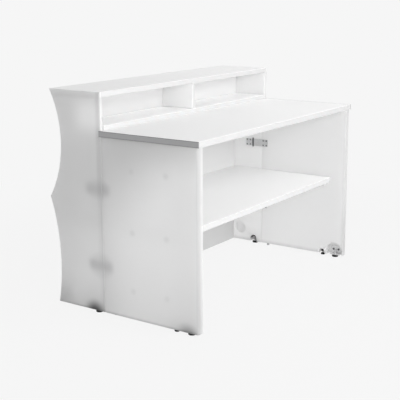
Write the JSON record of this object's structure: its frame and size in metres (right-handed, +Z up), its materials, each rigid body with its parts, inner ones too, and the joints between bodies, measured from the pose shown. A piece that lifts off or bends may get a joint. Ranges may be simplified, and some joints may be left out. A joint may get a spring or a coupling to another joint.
{
  "type": "illuminated bar counter",
  "caption": "Free-standing bar counter: a wave-fronted translucent light box with an open cabinet on top, and a worktop with a shelf on hollow legs behind it.",
  "frame": {"origin": "middle of the footprint, on the floor under the levelling feet", "axes": "+X along the counter to the staff's right, +Y towards the customers, +Z up"},
  "size_m": [1.555, 0.903, 1.1],
  "materials": {
    "milky_moulding": "satin milky translucent polyethylene",
    "white_board": "satin white melamine-faced board",
    "satin_aluminium": "satin anodised",
    "zinc_steel": "dull zinc plated",
    "light_strip": "white light strip, unlit",
    "grey_plastic": "matt grey",
    "black_plastic": "matt black"
  },
  "bodies": {
    "counter": {"wave_front": "milky_moulding", "end_shell_left": "milky_moulding", "end_shell_right": "milky_moulding", "leg_left": "milky_moulding", "leg_right": "milky_moulding", "counter_top": "white_board", "worktop": "white_board", "shelf": "white_board", "shelf_rail_left": "white_board", "shelf_rail_right": "white_board", "cabinet_floor": "white_board", "cabinet_back": "white_board", "cabinet_divider": "white_board", "service_panel": "white_board", "light_box_base": "white_board", "worktop_strip_left": "satin_aluminium", "worktop_strip_right": "satin_aluminium", "light_channel_upper": "satin_aluminium", "light_channel_middle": "satin_aluminium", "light_channel_lower": "satin_aluminium", "foot_bracket_left": "zinc_steel", "foot_bracket_right": "zinc_steel", "seam_plate_upper_left": "zinc_steel", "lock_plate_upper_left": "zinc_steel", "seam_plate_upper_right": "zinc_steel", "lock_plate_upper_right": "zinc_steel", "seam_plate_lower_left": "zinc_steel", "lock_plate_lower_left": "zinc_steel", "seam_plate_lower_right": "zinc_steel", "lock_plate_lower_right": "zinc_steel", "light_strip_upper": "light_strip", "light_strip_middle": "light_strip", "light_strip_lower": "light_strip", "glide_left": "grey_plastic", "glide_right": "grey_plastic", "light_driver": "grey_plastic", "light_lead_upper": "grey_plastic", "light_lead_middle": "grey_plastic", "light_lead_lower": "grey_plastic"},
    "foot_left_leg_edge": {"foot_left_leg_edge": "black_plastic"},
    "foot_left_leg_middle": {"foot_left_leg_middle": "black_plastic"},
    "foot_left_end_staff": {"foot_left_end_staff": "black_plastic"},
    "foot_left_end_customer": {"foot_left_end_customer": "black_plastic"},
    "foot_right_leg_edge": {"foot_right_leg_edge": "black_plastic"},
    "foot_right_leg_middle": {"foot_right_leg_middle": "black_plastic"},
    "foot_right_end_staff": {"foot_right_end_staff": "black_plastic"},
    "foot_right_end_customer": {"foot_right_end_customer": "black_plastic"}
  },
  "joints": [
    {"name": "foot_left_leg_edge_screw", "type": "slide", "parent": "counter", "child": "foot_left_leg_edge", "axis": [0, 0, -1], "range_m": [0, 0.015]},
    {"name": "foot_left_leg_middle_screw", "type": "slide", "parent": "counter", "child": "foot_left_leg_middle", "axis": [0, 0, -1], "range_m": [0, 0.015]},
    {"name": "foot_left_end_staff_screw", "type": "slide", "parent": "counter", "child": "foot_left_end_staff", "axis": [0, 0, -1], "range_m": [0, 0.015]},
    {"name": "foot_left_end_customer_screw", "type": "slide", "parent": "counter", "child": "foot_left_end_customer", "axis": [0, 0, -1], "range_m": [0, 0.015]},
    {"name": "foot_right_leg_edge_screw", "type": "slide", "parent": "counter", "child": "foot_right_leg_edge", "axis": [0, 0, -1], "range_m": [0, 0.015]},
    {"name": "foot_right_leg_middle_screw", "type": "slide", "parent": "counter", "child": "foot_right_leg_middle", "axis": [0, 0, -1], "range_m": [0, 0.015]},
    {"name": "foot_right_end_staff_screw", "type": "slide", "parent": "counter", "child": "foot_right_end_staff", "axis": [0, 0, -1], "range_m": [0, 0.015]},
    {"name": "foot_right_end_customer_screw", "type": "slide", "parent": "counter", "child": "foot_right_end_customer", "axis": [0, 0, -1], "range_m": [0, 0.015]}
  ]
}
